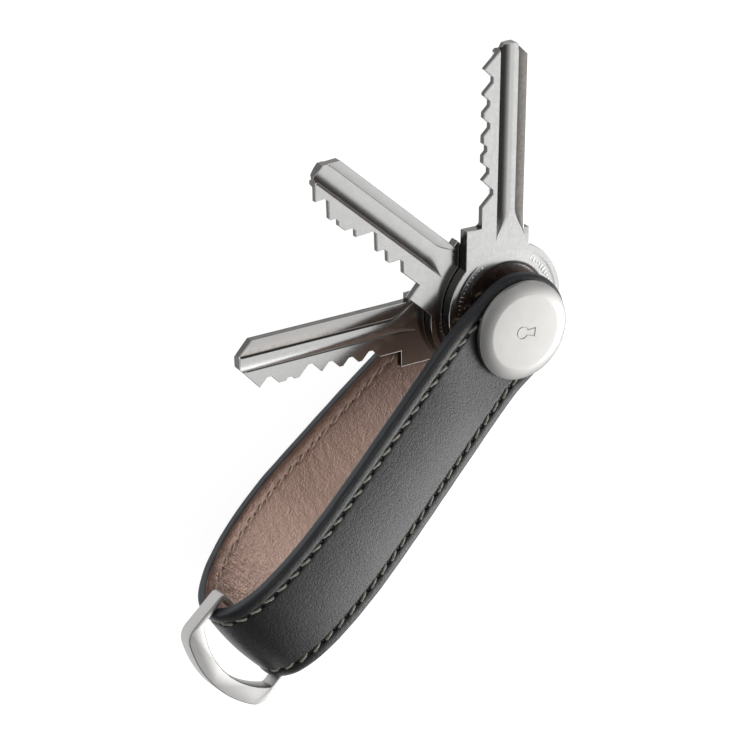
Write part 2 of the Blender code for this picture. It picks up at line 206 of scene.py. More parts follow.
class StrapMap:
    """Carries the flat strap pattern (along, across, depth) to its folded place.

    Along is 0 over the pivot at the front and ends at self.length over the pivot at the back.
    """

    STEP = 0.1 * MM
    SMOOTHED_STEPS = 15
    FOLD_REACH = 13 * MM

    def __init__(self, route):
        line = spline_through(route) * MM
        steps = np.linalg.norm(np.diff(line, axis=0), axis=1)
        along = np.concatenate([[0], np.cumsum(steps)])
        even = np.arange(0, along[-1], self.STEP)
        x = np.interp(even, along, line[:, 0])
        z = np.interp(even, along, line[:, 1])
        x, z = self.smoothed(x), self.smoothed(z)
        crossings = np.nonzero(np.diff(np.sign(x)))[0]
        self.even = even - even[crossings[0]]
        self.length = even[crossings[-1]] - even[crossings[0]]
        self.x = x
        self.z = z
        dx = np.gradient(x)
        dz = np.gradient(z)
        size = np.hypot(dx, dz)
        self.inward_x = dz / size
        self.inward_z = -dx / size

    def smoothed(self, values):
        """A running average, which keeps the ends where they are."""
        kernel = np.hanning(self.SMOOTHED_STEPS) / np.hanning(self.SMOOTHED_STEPS).sum()
        padded = np.pad(values, self.SMOOTHED_STEPS // 2, mode="reflect", reflect_type="odd")
        return np.convolve(padded, kernel, mode="valid")

    def place(self, along, across, depth):
        """World positions of pattern points; depth runs from the outer surface towards the lining."""
        x = np.interp(along, self.even, self.x) + np.interp(along, self.even, self.inward_x) * depth
        z = np.interp(along, self.even, self.z) + np.interp(along, self.even, self.inward_z) * depth
        return np.stack([x, across + 0 * x, z], axis=-1)

    def past_end(self, along):
        """How far a point lies beyond the pivot at either end."""
        return np.maximum(0, np.maximum(-along, along - self.length))

    def fold_nearness(self, along):
        """1 in the middle of the fold, falling to 0 some 25 mm either side of it."""
        return bell(along, self.length / 2, self.FOLD_REACH)


STRAP = StrapMap(STRAP_ROUTE)
STITCH_COUNT = int(STRAP.length / STITCH_PITCH)
FIRST_STITCH = (STRAP.length - STITCH_COUNT * STITCH_PITCH) / 2


def waves(along, across, seed, count, size_mm, stretch=1.0):
    """A smooth, repeatable roughness from a sum of plane waves, about -1 to 1."""
    rng = np.random.default_rng(seed)
    total = np.zeros(np.broadcast(along, across).shape)
    for _ in range(count):
        angle = rng.normal(0, 0.35)
        pitch = size_mm * MM * rng.uniform(0.6, 1.7)
        phase = rng.uniform(0, 2 * math.pi)
        run = along * math.cos(angle) + across * math.sin(angle) * stretch
        total += np.sin(2 * math.pi * run / pitch + phase)
    return total / math.sqrt(count)


def inset_from_edge(along, across):
    """How far a point of the pattern lies inside the strap's outline."""
    return HALF_WIDTH - np.hypot(STRAP.past_end(along), across)


def rolled_edge(inset, height, width):
    """How far the leather rounds over at its edge."""
    return height * np.exp(-np.maximum(inset - EDGE_INSET, 0) / width)


def outer_depth(along, across):
    """Relief of the outer leather: rolled edge, stitch groove and a faint crown."""
    inset = inset_from_edge(along, across)
    roll = rolled_edge(inset, 0.3 * MM, 0.35 * MM)
    groove = 0.24 * MM * bell(inset, STITCH_INSET, 0.4 * MM)
    margin = -0.1 * MM * np.sin(math.pi * np.clip(inset / STITCH_INSET, 0, 1))
    panel = 1 - (across / (HALF_WIDTH - STITCH_INSET)) ** 2
    clear_of_button = smoothstep(np.minimum(along, STRAP.length - along), 9 * MM, 22 * MM)
    crown = -0.5 * MM * np.clip(panel, 0, 1) * clear_of_button + margin
    ripple = 0.012 * MM * waves(along, across, seed=3, count=10, size_mm=9.0)
    pull = 0.03 * MM * np.cos(2 * math.pi * along / STITCH_PITCH) * bell(inset, STITCH_INSET, 0.8 * MM)
    return roll + groove + crown + ripple + pull


def lining_depth(along, across):
    """Relief of the lining: stitch groove, and wrinkles where the fold squeezes it."""
    inset = inset_from_edge(along, across)
    groove = 0.05 * MM * bell(inset, STITCH_INSET, 0.5 * MM)
    roll = rolled_edge(inset, 0.15 * MM, 0.3 * MM)
    fine = waves(along, across, seed=11, count=14, size_mm=1.15, stretch=0.9)
    broad = waves(along, across, seed=5, count=9, size_mm=3.2, stretch=0.7)
    crease = -np.abs(fine) * 0.07 * MM + broad * 0.045 * MM
    calm = 0.012 * MM * waves(along, across, seed=8, count=12, size_mm=2.4)
    return THICKNESS - groove - roll - STRAP.fold_nearness(along) * crease * 1.1 - calm


def strap_columns():
    """Where the slab's cross rows lie along the strap, closer together round its ends."""
    body = np.linspace(0, STRAP.length, int(STRAP.length / GRID_STEP))
    turn = np.linspace(math.pi / 2, 0, 14, endpoint=False)
    reach = (HALF_WIDTH - EDGE_INSET) * np.sin(np.clip(turn, 0, math.pi / 2 - 0.12))
    return np.unique(np.round(np.concatenate([-reach, body, STRAP.length + reach]), 8))


def strap_rows():
    """Where the lengthwise rows lie, from -1 at one edge to 1 at the other, closer together there."""
    edge = HALF_WIDTH - EDGE_INSET
    side = np.linspace(5.9 * MM, edge, 17)
    middle = np.linspace(-5.7 * MM, 5.7 * MM, 25)
    return np.concatenate([-side[::-1], middle, side]) / edge


def slab_faces(n, m):
    """Faces of a closed slab between two grids of n by m points, the upper grid first."""
    index = np.arange(n * m).reshape(n, m)
    a, b, c, d = index[:-1, :-1], index[1:, :-1], index[1:, 1:], index[:-1, 1:]
    upper = np.stack([a, b, c, d], -1).reshape(-1, 4)
    lower = np.stack([d, c, b, a], -1).reshape(-1, 4) + n * m
    rim = np.concatenate([index[:, 0], index[-1, 1:], index[-2::-1, -1], index[0, -2:0:-1]])
    following = np.roll(rim, -1)
    wall = np.stack([rim, rim + n * m, following + n * m, following], -1)
    return np.concatenate([upper, lower, wall]).tolist()


def strap_slab(name, top_depth, bottom_depth):
    """A closed sheet of leather between two depths, folded into place; its UVs are the flat pattern."""
    columns = strap_columns()
    rows = strap_rows()
    edge = HALF_WIDTH - EDGE_INSET
    narrowest = 0.6 * MM
    width = np.sqrt(np.maximum(edge**2 - STRAP.past_end(columns) ** 2, narrowest**2))
    along = np.repeat(columns[:, None], len(rows), axis=1)
    across = width[:, None] * rows[None, :]
    top = STRAP.place(along, across, top_depth(along, across))
    bottom = STRAP.place(along, across, bottom_depth(along, across))
    obj = mesh_object(name, [top, bottom], slab_faces(*along.shape))
    pattern = np.stack([along.ravel(), across.ravel()], -1) / MM
    set_uv(obj, np.concatenate([pattern, pattern]))
    fix_normals(obj)
    bpy.ops.mesh.primitive_cylinder_add(vertices=48, radius=HOLE_RADIUS, depth=80 * MM)
    cut_away(obj, bpy.context.active_object)
    return obj


def bead_path():
    """The strap's outline round both sides and both ends, and its outward direction, in the pattern."""
    body = np.linspace(0, STRAP.length, int(STRAP.length / GRID_STEP))
    turn = np.linspace(0, math.pi, 33)[1:-1]
    side = np.full(len(body), HALF_WIDTH)
    end = HALF_WIDTH * np.sin(turn)
    along = np.concatenate([body, STRAP.length + end, body[::-1], -end])
    across = np.concatenate([side, HALF_WIDTH * np.cos(turn), -side, -HALF_WIDTH * np.cos(turn)])
    past = np.where(along < 0, along, np.where(along > STRAP.length, along - STRAP.length, 0))
    out_across = np.where(np.abs(past) > 0, across / HALF_WIDTH, np.sign(across))
    return along, across, past / HALF_WIDTH, out_across


def bead_section():
    """The bead's outline as (outward, depth): rounded, with a faint crease, and its inner side buried."""
    swing = np.linspace(-math.pi / 2, math.pi / 2, 19)
    half = THICKNESS / 2
    reach = 0.62 * MM
    out = reach * (np.abs(np.cos(swing)) ** 0.75) - reach
    depth = half + (half - 0.1 * MM) * np.sign(np.sin(swing)) * np.abs(np.sin(swing)) ** 0.85
    out -= 0.07 * MM * bell(depth, half, 0.13 * MM)
    buried = -reach - 0.2 * MM
    out = np.concatenate([out, [buried, buried]])
    depth = np.concatenate([depth, [depth[-1] - 0.3 * MM, depth[0] + 0.3 * MM]])
    return out, depth


def edge_bead(name):
    """The painted edge, swept round the strap's whole outline."""
    along, across, out_along, out_across = bead_path()
    out, depth = bead_section()
    wobble = 0.02 * MM * waves(along, across * 0, seed=21, count=8, size_mm=6.0)
    proud = out[None, :] + wobble[:, None]
    a = along[:, None] + out_along[:, None] * proud
    c = across[:, None] + out_across[:, None] * proud
    return swept(name, STRAP.place(a, c, np.broadcast_to(depth[None, :], a.shape)))


def stitch(centre, row, outer, radius, length, slant, rng):
    """Rings of points of one stitch: a twisted thread that dives in at its ends."""
    along_thread = np.linspace(-1, 1, 15)
    around = np.linspace(0, 2 * math.pi, 12, endpoint=False)
    lean = slant * (1 + 0.25 * rng.uniform(-1, 1)) * row
    along = centre + along_thread * length / 2
    across = row * (HALF_WIDTH - STITCH_INSET) + along_thread * lean
    across = across + 0.05 * MM * rng.uniform(-1, 1)
    dive = 0.55 * MM * np.abs(along_thread) ** 5
    lift = 0.02 * MM * rng.uniform(-1, 1)
    depth = (0.06 * MM + dive if outer else THICKNESS + 0.02 * MM - dive) + lift
    thick = radius * (1 - 0.25 * np.abs(along_thread) ** 3)
    twist = 2.2 * along_thread
    lobes = 1 + 0.13 * np.cos(3 * (around[None, :] - twist[:, None]))
    offset_across = thick[:, None] * lobes * np.cos(around)[None, :]
    offset_depth = 0.85 * thick[:, None] * lobes * np.sin(around)[None, :]
    a = np.repeat(along[:, None], len(around), axis=1)
    return STRAP.place(a, across[:, None] + offset_across, depth[:, None] + offset_depth)


def stitch_rows(name, outer, radius, length, slant):
    """Both rows of stitches on one face of the strap."""
    rng = np.random.default_rng(7 if outer else 9)
    centres = [FIRST_STITCH + number * STITCH_PITCH for number in range(STITCH_COUNT + 1)]
    tubes = [stitch(c, row, outer, radius, length, slant, rng) for row in (-1, 1) for c in centres]
    return many_tubes(name, np.array(tubes))


# ---- Refined metal pieces

# Clamp discs: a flat face, a crowned chamfer that drops to a fillet, and a straight rim.
DISC_FLAT = 6.5 * MM
DISC_RADIUS = 8.77 * MM
CHAMFER_DROP = 0.78 * MM
CHAMFER_FILLET = 0.4 * MM
DISC_DROP = 1.15 * MM
DISC_RIM = 0.45 * MM
EASED_EDGE = 0.12 * MM
CAP_BORE = 7.9 * MM
CAP_FLOOR = 0.9 * MM
SCREW_SHANK = 1.45 * MM
SLOT_SIZE = (12 * MM, 1.7 * MM, 1.6 * MM)


def refined(name, node, bevel):
    """A copy of a CAD node with its flat faces joined up and its edges rounded; it replaces the node."""
    mesh = frame["nodes"][node].data.copy()
    mesh.name = name
    mesh.materials.clear()
    work = bmesh.new()
    work.from_mesh(mesh)
    bmesh.ops.remove_doubles(work, verts=work.verts, dist=1e-7)
    nearly_flat = math.radians(0.6)
    bmesh.ops.dissolve_limit(
        work, angle_limit=nearly_flat, verts=work.verts, edges=work.edges, use_dissolve_boundaries=False
    )
    work.to_mesh(mesh)
    work.free()
    obj = new_object(name, mesh)
    round_edges = obj.modifiers.new("round", "BEVEL")
    round_edges.width = bevel
    round_edges.segments = 4
    round_edges.limit_method = "ANGLE"
    round_edges.angle_limit = math.radians(35)
    round_edges.use_clamp_overlap = True
    round_edges.harden_normals = True
    shade(obj)
    bake_modifiers(obj)
    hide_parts(node)
    return obj


def turned(name, profile, steps=160):
    """A body of revolution about Z from (radius, height) points."""
    turn = np.linspace(0, 2 * math.pi, steps, endpoint=False)
    work = bmesh.new()
    rings = []
    for radius, height in profile:
        spokes = turn if radius > 1e-9 else turn[:1]
        spots = [(radius * math.cos(t), radius * math.sin(t), height) for t in spokes]
        rings.append([work.verts.new(spot) for spot in spots])
    for upper, lower in zip(rings, rings[1:]):
        for i in range(steps):
            j = (i + 1) % steps
            corners = [ring[k % len(ring)] for ring, k in ((upper, i), (lower, i), (lower, j), (upper, j))]
            work.faces.new(list(dict.fromkeys(corners)))
    bmesh.ops.recalc_face_normals(work, faces=work.faces)
    mesh = bpy.data.meshes.new(name)
    work.to_mesh(mesh)
    work.free()
    return new_object(name, mesh)


def disc_profile(face, away):
    """A clamp disc's visible face as (radius, height) points; away, 1 or -1, is the way it recedes."""
    profile = [(0, face), (DISC_FLAT - EASED_EDGE, face), (DISC_FLAT - 0.04 * MM, face + away * 0.006 * MM)]
    for t in np.linspace(0.03, 0.94, 12):
        crowned = 0.4 * t + 0.6 * t * t
        profile.append((DISC_FLAT + (DISC_RADIUS - DISC_FLAT) * t, face + away * CHAMFER_DROP * crowned))
    for turn in np.linspace(0.25, 1.5, 6):
        reach = CHAMFER_FILLET * (1 - math.sin(turn))
        fall = CHAMFER_DROP + CHAMFER_FILLET * (0.1 - 0.35 * math.cos(turn))
        profile.append((DISC_RADIUS - reach * 0.4, face + away * fall))
    profile.append((DISC_RADIUS, face + away * (DISC_DROP + DISC_RIM - EASED_EDGE)))
    profile.append((DISC_RADIUS - EASED_EDGE, face + away * (DISC_DROP + DISC_RIM)))
    return profile


def finish_turning(obj, tool, node):
    """Cuts the tool out of a turned piece, which then replaces its node."""
    cut_away(obj, tool)
    shade(obj, 28)
    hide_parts(node)
    return obj


def make_front_button():
    under = -DISC_DROP - DISC_RIM
    profile = disc_profile(0, -1) + [(CAP_BORE, under), (CAP_BORE, -CAP_FLOOR), (0, -CAP_FLOOR)]
    cap = turned("button_cap", profile)
    return finish_turning(cap, keyhole_mark(), "front_button")


def keyhole_mark():
    """A plain keyhole: a fine engraved line round a round head and a flared stem."""
    head = 1.15 * MM
    arc = np.linspace(math.radians(-62), math.radians(242), 41)
    outline = [(head * math.cos(t), head * math.sin(t)) for t in arc]
    outline += [(-0.8 * MM, -2.6 * MM), (0.8 * MM, -2.6 * MM)]
    outline = np.array(outline) + (0, 0.6 * MM)
    turn = math.radians(-135)
    outline = outline @ np.array([[math.cos(turn), math.sin(turn)], [-math.sin(turn), math.cos(turn)]])
    inner = offset_loop(outline, 0.16 * MM)
    above, below = 1 * MM, -0.12 * MM
    walls = [(outline, above), (outline, below), (inner, below), (inner, above)]
    rings = [np.column_stack([loop, np.full(len(loop), z)]) for loop, z in walls]
    count = len(outline)
    faces = []
    for ring in range(4):
        here, following = ring * count, (ring + 1) % 4 * count
        for i in range(count):
            j = (i + 1) % count
            faces.append((here + i, here + j, following + j, following + i))
    obj = mesh_object("keyhole", rings, faces)
    fix_normals(obj)
    return obj


def make_back_screw():
    low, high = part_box("back_screw")
    top = low.z + DISC_DROP + DISC_RIM
    profile = disc_profile(low.z, 1) + [(SCREW_SHANK, top), (SCREW_SHANK, high.z), (0, high.z)]
    screw = turned("slotted_screw", profile)
    bpy.ops.mesh.primitive_cube_add(size=1, location=(0, 0, low.z))
    slot = bpy.context.active_object
    slot.scale = SLOT_SIZE
    return finish_turning(screw, slot, "back_screw")


# ---- Keys


def walk_loops(edges):
    """Closed loops of XY points from loose edges, longest first."""
    beside = {}
    for edge in edges:
        a, b = edge.verts
        beside.setdefault(a, []).append(b)
        beside.setdefault(b, []).append(a)
    loops = []
    left = set(beside)
    while left:
        start = min(left, key=lambda v: v.index)
        loop = [start]
        left.discard(start)
        while True:
            onward = [v for v in beside[loop[-1]] if v in left]
            if not onward:
                break
            loop.append(onward[0])
            left.discard(onward[0])
        loops.append(np.array([v.co[:2] for v in loop]))
    return sorted(loops, key=lambda points: -np.ptp(points, axis=0).sum())


def mid_outline(node, level, swing):
    """The node's outline and hole at one height, in mm, turned so that the key points along +X."""
    obj = frame["nodes"][node]
    work = bmesh.new()
    work.from_mesh(obj.data)
    work.transform(Matrix.Rotation(-math.radians(swing), 4, "Z") @ obj.matrix_world)
    bmesh.ops.remove_doubles(work, verts=work.verts, dist=1e-6)
    everything = list(work.verts) + list(work.edges) + list(work.faces)
    plane = {"plane_co": (0, 0, level), "plane_no": (0, 0, 1)}
    bmesh.ops.bisect_plane(work, geom=everything, **plane, clear_inner=True, clear_outer=True)
    bmesh.ops.remove_doubles(work, verts=work.verts, dist=1e-6)
    work.verts.index_update()
    loops = [tidy_loop(loop / MM) for loop in walk_loops(work.edges)]
    work.free()
    return loops[0], loops[1][::-1]


def tidy_loop(loop):
    """Drops points on straight runs, and turns the loop counter-clockwise."""
    back = loop - np.roll(loop, 1, axis=0)
    ahead = np.roll(loop, -1, axis=0) - loop
    bend = back[:, 0] * ahead[:, 1] - back[:, 1] * ahead[:, 0]
    size = np.linalg.norm(back, axis=1) * np.linalg.norm(ahead, axis=1)
    loop = loop[np.abs(bend) > 0.004 * size]
    x, y = loop.T
    area = (x * np.roll(y, -1) - y * np.roll(x, -1)).sum()
    return loop if area > 0 else loop[::-1]


def resampled(loop, step):
    points = []
    for start, end in zip(loop, np.roll(loop, -1, axis=0)):
        count = max(1, int(math.ceil(np.linalg.norm(end - start) / step)))
        points += [start + (end - start) * i / count for i in range(count)]
    return np.array(points)


def offset_loop(loop, distance):
    """A closed loop moved to its left by a small distance, with mitred corners."""
    back = loop - np.roll(loop, 1, axis=0)
    ahead = np.roll(loop, -1, axis=0) - loop
    normals = []
    for run in (back, ahead):
        run = run / np.linalg.norm(run, axis=1)[:, None]
        normals.append(np.stack([-run[:, 1], run[:, 0]], -1))
    both = normals[0] + normals[1]
    both /= np.maximum(np.linalg.norm(both, axis=1), 0.3)[:, None]
    reach = distance / np.maximum((both * normals[0]).sum(1), 0.5)
    return loop + both * reach[:, None]


# Marks the cut side walls of a key in its UVs, whose first value is otherwise the milled depth in mm.
CUT_WALL = 2.0

# The rounded rim of a key, as (inset, drop), and its other small sizes, all in mm.
RIM_STEPS = ((0.0, 0.09), (0.027, 0.026), (0.09, 0.0))
KEY_HOLE_CLEAR = 2.9
TICK_COUNT = 78
LAST_TICK_X = 11.2


class KeyFace:
    """How deep a key's face is milled: a concave groove, a rebate along the spine, and a stepped bow.

    Every length is in mm. The key points along +X, and x = 0 is on the pivot.
    """

    RUN_OUT = (15.2, 20.5)
    GROOVE_STEPS = (0.0, 0.12, 0.25, 0.37, 0.48, 0.58, 0.67, 0.75, 0.83, 0.9, 1.0)
    REBATE_STEPS = (0.12, 0.3, 0.5, 0.7, 0.88, 0.93, 1.0)
    WARD_STEPS = (0.4, 0.45, 0.6, 0.65)
    BOW_STEPS = (7.5, 7.6, 7.85, 8.1, 8.2, 9.9, 10.0, 10.15, 10.3, 10.4)

    def __init__(self, outline, groove, rebate):
        blade = outline[outline[:, 0] > self.RUN_OUT[1] + 1.5]
        self.spine = blade[:, 1].min()
        self.tip = outline[:, 0].max()
        self.gentle, self.steep, self.groove_depth = groove
        self.rebate_width, self.rebate_depth = rebate
        low, high = np.sort(outline[outline[:, 0] < 4][:, 1])[[0, -1]]
        self.bow = np.array([outline[:, 0].min() + (high - low) / 2, (low + high) / 2])

    def growth(self, x):
        """0 where the milling starts, by the bow, and 1 where it has its full depth."""
        return smoothstep(x, *self.RUN_OUT)

    def groove_start(self, x):
        return self.steep + (self.gentle - self.steep) * np.maximum(self.growth(x), 0.02) ** 0.8

    def rebate_edge(self, x):
        return self.rebate_width * np.maximum(self.growth(x), 0.02) ** 0.7

    def depth(self, x, y):
        across = y - self.spine
        grown = self.growth(x) ** 0.6
        start = self.groove_start(x)
        u = (across - start) / (self.steep - start)
        hollow = np.where(u < 0.9, np.clip(u / 0.9, 0, 1) ** 2.05, np.clip((1 - u) / 0.1, 0, 1))
        groove = self.groove_depth * grown * hollow
        w = across / self.rebate_edge(x)
        floor = self.rebate_depth * (0.5 + 0.5 * np.clip(w / 0.93, 0, 1) ** 1.6)
        rebate = floor * grown * np.clip((1 - w) / 0.07, 0, 1)
        milled = np.maximum(groove * (u > 0) * (u < 1), rebate * (w < 1))
        radius = np.hypot(x - self.bow[0], y - self.bow[1])
        recess = 0.08 * (1 - smoothstep(radius, 7.6, 8.1)) + 0.07 * (1 - smoothstep(radius, 10.0, 10.3))
        return np.where(x > self.RUN_OUT[0], milled, 0) + recess * (1 - smoothstep(x, 8.5, 12.5))

    def back_depth(self, x, y):
        """The back face also has a wide ward milled along the cut side, which leaves that side thin."""
        across = y - self.spine
        ward = 0.95 * smoothstep(across, self.steep + 0.45, self.steep + 0.6) * smoothstep(x, 17.6, 18.8)
        return np.maximum(self.depth(x, y), ward)

    def lines(self):
        """Rows and rings of points that the mesh follows."""
        start, end = self.RUN_OUT
        stations = np.concatenate([np.linspace(start + 0.05, end, 18), np.arange(end + 0.8, self.tip, 0.8)])
        stations = np.sort(np.append(stations, self.tip - np.array([0.12, 0.35])))
        near = self.groove_start(stations)
        heights = [near + (self.steep - near) * u for u in (-0.05, *self.GROOVE_STEPS, 1.04)]
        heights += [self.rebate_edge(stations) * w for w in (*self.REBATE_STEPS, 1.05)]
        heights += [self.steep + gap + 0 * stations for gap in self.WARD_STEPS]
        rows = [np.stack([stations, self.spine + height], -1) for height in heights]
        around = np.linspace(0, 2 * math.pi, 120, endpoint=False)
        for radius in self.BOW_STEPS:
            ring = self.bow + radius * np.stack([np.cos(around), np.sin(around)], -1)
            rows.append(np.concatenate([ring, ring[:1]]))
        return rows


def inside(points, loop):
    """Which points lie inside a closed loop."""
    x, y = points[:, 0][:, None], points[:, 1][:, None]
    x1, y1 = loop.T
    x2, y2 = np.roll(loop, -1, axis=0).T
    crosses = ((y1 > y) != (y2 > y)) & (x < (x2 - x1) * (y - y1) / (y2 - y1 + 1e-12) + x1)
    return crosses.sum(1) % 2 == 1


class Chains:
    """Rows of joined points, each with its drop below the key's face at the rounded rim."""

    def __init__(self):
        self.points = []
        self.drops = []
        self.edges = []

    def add(self, chain, drop=0.0, closed=False):
        numbers = list(range(len(self.points), len(self.points) + len(chain)))
        self.points.extend(chain.tolist())
        self.drops.extend([drop] * len(chain))
        self.edges.extend(zip(numbers, numbers[1:]))
        if closed:
            self.edges.append((numbers[-1], numbers[0]))
        return numbers


def unbroken_runs(row, kept):
    """The stretches of a row whose points are all kept."""
    breaks = np.nonzero(np.diff(kept))[0] + 1
    return [run for run, use in zip(np.split(row, breaks), np.split(kept, breaks)) if use[0]]


def finer_past(loop, x):
    """The loop with one more point in each of its steps beyond x."""
    points = []
    for a, b in zip(loop, np.roll(loop, -1, axis=0)):
        points += [a, (a + b) / 2] if a[0] > x else [a]
    return np.array(points)


def key_chains(outline, hole, face):
    """The lines that a key's mesh follows, and the numbers of the points on its outline and its hole."""
    chains = Chains()
    borders = []
    for loop in (outline, hole):
        for inset, drop in RIM_STEPS:
            numbers = chains.add(offset_loop(loop, inset), drop, closed=True)
            if inset == 0:
                borders.append(numbers)
    clear = offset_loop(outline, 0.13)
    for row in face.lines():
        kept = inside(row, clear) & (np.hypot(*row.T) > KEY_HOLE_CLEAR)
        for run in unbroken_runs(row, kept):
            chains.add(run)
    return chains, borders


def key_sheet(outline, hole, face):
    """A flat triangulation that follows the outline, its rounded rim and every milled line."""
    fine = finer_past(resampled(outline, 0.3), face.tip - 4.5)
    chains, borders = key_chains(fine, hole, face)
    made = delaunay_2d_cdt([Vector(p) for p in chains.points], chains.edges, [], 1, 1e-5)
    places, _, triangles, sources_of = made[:4]
    flat = np.array([tuple(v) for v in places])
    drop = np.zeros(len(flat))
    new_number = {}
    for number, sources in enumerate(sources_of):
        for source in sources:
            drop[number] = max(drop[number], chains.drops[source])
            new_number[source] = number
    faces = np.array([f for f in triangles if len(f) == 3])
    middle = flat[faces].mean(1)
    keep = inside(middle, fine) & ~inside(middle, hole)
    return flat, drop, faces[keep], [[new_number[i] for i in chain] for chain in borders]


def key_solid(name, face, sheet, half, turn):
    """A key's two milled faces and the walls between them, with the milled depth in its UVs."""
    flat, drop, faces, borders = sheet
    count = len(flat)
    x, y = flat[:, 0], flat[:, 1]
    depth = face.depth(x, y)
    upper = np.column_stack([flat, half - depth - drop])
    lower = np.column_stack([flat, face.back_depth(x, y) + drop - half])
    walls = []
    for chain in borders:
        walls += [(a, a + count, b + count, b) for a, b in zip(chain, chain[1:] + chain[:1])]
    obj = mesh_object(name, [upper, lower], faces.tolist() + (faces[:, ::-1] + count).tolist() + walls)
    obj.data.transform(turn)
    set_uv(obj, np.column_stack([np.tile(depth, 2), np.tile(x, 2)]))
    layer = obj.data.uv_layers["pattern"]
    for polygon in obj.data.polygons:
        if len(polygon.vertices) == 4:
            for corner in polygon.loop_indices:
                layer.data[corner].uv = (CUT_WALL, 0)
    return obj


def make_key(node, body, swing, groove, rebate):
    """One key: its outline comes from the CAD node, and its faces get their milled shapes and a struck bow.

    The groove is (gentle side, steep side, depth) and the rebate is (width, depth), in mm from the spine.
    """
    low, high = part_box(node)
    level = (low.z + high.z) / 2
    half = (high.z - low.z) / 2 / MM
    turn = Matrix.Rotation(math.radians(swing), 4, "Z") @ Matrix.Scale(MM, 4)
    turn = Matrix.Translation((0, 0, level)) @ turn
    outline, hole = mid_outline(node, level, swing)
    face = KeyFace(outline, groove, rebate)
    obj = key_solid(node + "_plated", face, key_sheet(outline, hole, face), half, turn)
    fix_normals(obj)
    shade(obj, 15)
    even = obj.modifiers.new("even", "WEIGHTED_NORMAL")
    even.keep_sharp = True
    bake_modifiers(obj)
    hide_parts(node)
    material = key_nickel(node + "_nickel", swing)
    finish(obj, material, "key_nickel", body)
    marks = bow_marks(node + "_marks", face, outline, half, turn)
    finish(marks, material, "key_nickel", body)


def tick_rings(face, out, lean, span, wide, half, side):
    """Rings of points of one raised tick on one face of the bow, from its buried foot to its top."""
    aside = np.array([-out[1], out[0]])
    inner, outer = span
    middle = (inner + outer) / 2
    rings = []
    for grow, height in ((1.0, half - 0.12), (1.0, half - 0.03), (0.72, half), (0.1, half)):
        reach = (outer - inner) / 2 - (1 - grow) * wide
        shrink = grow if grow < 0.5 else 1
        corners = []
        for t in np.linspace(0, 2 * math.pi, 12, endpoint=False):
            along = math.copysign(abs(math.cos(t)) ** 0.5, math.cos(t)) * reach * shrink
            cross = math.sin(t) * wide * grow
            spot = face.bow + (middle + along) * out + (cross + lean * along * 0.3) * aside
            corners.append((*spot, side * height))
        rings.append(corners)
    return rings


def bow_marks(name, face, outline, half, turn):
    """A plain ring of raised ticks struck round the bow, on both faces."""
    rng = np.random.default_rng(31)
    clear = offset_loop(outline, 0.9)
    tubes = []
    for number in range(TICK_COUNT):
        angle = 2 * math.pi * number / TICK_COUNT
        span = (8.7, 9.65) if number % 5 < 3 else (9.0, 9.4)
        wide = 0.11 if number % 2 else 0.16
        out = np.array([math.cos(angle), math.sin(angle)])
        ends = face.bow + np.array(span)[:, None] * out
        if inside(ends, clear).all() and ends[:, 0].max() <= LAST_TICK_X:
            lean = rng.uniform(-0.25, 0.25)
            tubes += [tick_rings(face, out, lean, span, wide, half, side) for side in (1, -1)]
    obj = many_tubes(name, np.array(tubes))
    set_uv(obj, np.zeros((len(obj.data.vertices), 2)))
    obj.data.transform(turn)
    return obj


# ---- Materials


class Nodes:
    """A thin helper for building a node tree."""

    def __init__(self, tree):
        self.tree = tree

    def add(self, kind, inputs=None, **settings):
        node = self.tree.nodes.new("ShaderNode" + kind)
        for key, value in settings.items():
            setattr(node, key, value)
        self.feed(node, inputs or {})
        return node

    def feed(self, node, inputs):
        """Sets a node's inputs: a constant goes on its socket, and another node's output is linked."""
        for key, value in inputs.items():
            if isinstance(value, bpy.types.NodeSocket):
                self.tree.links.new(value, node.inputs[key])
            else:
                node.inputs[key].default_value = value

    def math(self, operation, *values):
        return self.add("Math", dict(enumerate(values)), operation=operation).outputs[0]

    def span(self, factor, low, high, start=0.0, finish=1.0, smooth=False):
        """Goes from low to high as the factor goes from start to finish."""
        inputs = {"Value": factor, "From Min": start, "From Max": finish, "To Min": low, "To Max": high}
        kind = "SMOOTHSTEP" if smooth else "LINEAR"
        return self.add("MapRange", inputs, interpolation_type=kind).outputs["Result"]


# Noise lies mostly between these two values.
NOISE_RANGE = (0.3, 0.7)


